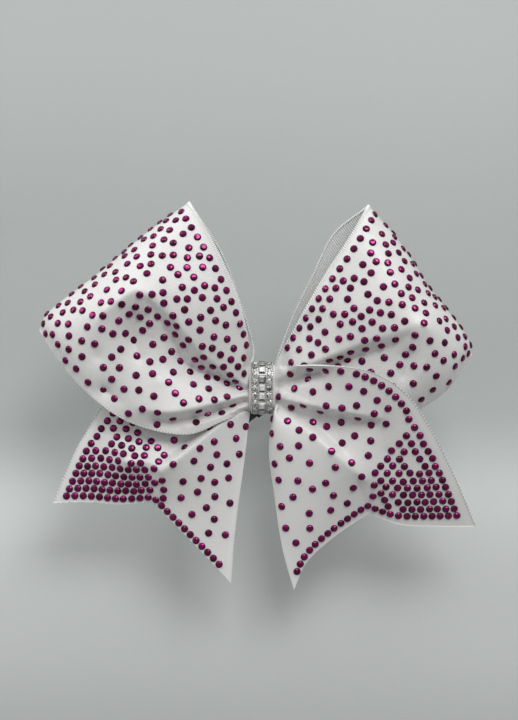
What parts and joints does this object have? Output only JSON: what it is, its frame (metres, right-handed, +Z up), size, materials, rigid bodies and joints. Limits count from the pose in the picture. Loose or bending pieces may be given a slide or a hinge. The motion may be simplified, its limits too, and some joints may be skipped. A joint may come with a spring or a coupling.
{
  "type": "cheer hair bow",
  "caption": "White satin cheer bow: two ribbon loops and two swallow tails set with fuchsia flat-backed crystals, crystal banding round the knot, hair elastic behind.",
  "frame": {"origin": "on the flat back face of the elastic's keeper, level with the middle of the cord; the knot's centre is 12.2 mm in front of it and 7.2 mm above it", "axes": "+Z up, as the bow is worn with its tails hanging down; the front of the bow faces -Y and the wearer's hair is towards +Y; +X is to the right when the bow is seen from the front"},
  "size_m": [0.1708, 0.0659, 0.151],
  "materials": {
    "white_satin": "satin weave, soft sheen",
    "white_grosgrain": "matt, fine cross ribs",
    "fuchsia_crystal": "faceted, foil-backed, glossy",
    "thread": "twisted",
    "silver_setting": "bright plated, beaded edges",
    "clear_crystal": "faceted, foil-backed, clear",
    "black_tape": "matt woven",
    "black_elastic": "braided"
  },
  "bodies": {
    "knot": {"pleated_core": "white_satin", "cinch_thread": "thread", "centre_wrap": "white_satin", "band_setting": "silver_setting", "band_square_crystals": "clear_crystal", "band_round_crystals": "clear_crystal", "elastic_keeper": "black_tape", "left_tail_neck_satin": "white_satin", "left_tail_neck_lining": "white_grosgrain", "left_tail_neck_stones": "fuchsia_crystal", "right_tail_neck_satin": "white_satin", "right_tail_neck_lining": "white_grosgrain", "right_tail_neck_stones": "fuchsia_crystal"},
    "hair_elastic": {"elastic_cord": "black_elastic", "elastic_join": "black_elastic"},
    "left_loop": {"left_loop_satin": "white_satin", "left_loop_lining": "white_grosgrain", "left_loop_stones": "fuchsia_crystal"},
    "right_loop": {"right_loop_satin": "white_satin", "right_loop_lining": "white_grosgrain", "right_loop_stones": "fuchsia_crystal"},
    "left_tail": {"left_tail_satin": "white_satin", "left_tail_lining": "white_grosgrain", "left_tail_stones": "fuchsia_crystal"},
    "right_tail": {"right_tail_satin": "white_satin", "right_tail_lining": "white_grosgrain", "right_tail_stones": "fuchsia_crystal"}
  },
  "joints": [
    {"name": "left_loop_flex", "type": "hinge", "parent": "knot", "child": "left_loop", "pos_m": [-0.0063, -0.0177, 0.0072], "axis": [0.6532, 0, 0.7572], "range_deg": [0, 10]},
    {"name": "right_loop_flex", "type": "hinge", "parent": "knot", "child": "right_loop", "pos_m": [0.0063, -0.0067, 0.0072], "axis": [-0.5821, 0, 0.8131], "range_deg": [0, 10]},
    {"name": "left_tail_flex", "type": "hinge", "parent": "knot", "child": "left_tail", "pos_m": [-0.03, -0.0134, -0.0148], "axis": [1, 0, 0], "range_deg": [-30, 30]},
    {"name": "right_tail_flex", "type": "hinge", "parent": "knot", "child": "right_tail", "pos_m": [0.03, -0.0177, -0.0148], "axis": [1, 0, 0], "range_deg": [-30, 30]},
    {"name": "elastic_swing", "type": "hinge", "parent": "knot", "child": "hair_elastic", "pos_m": [0, -0.00315, 0], "axis": [-0.7986, 0, -0.6018], "range_deg": [-35, 40]}
  ]
}
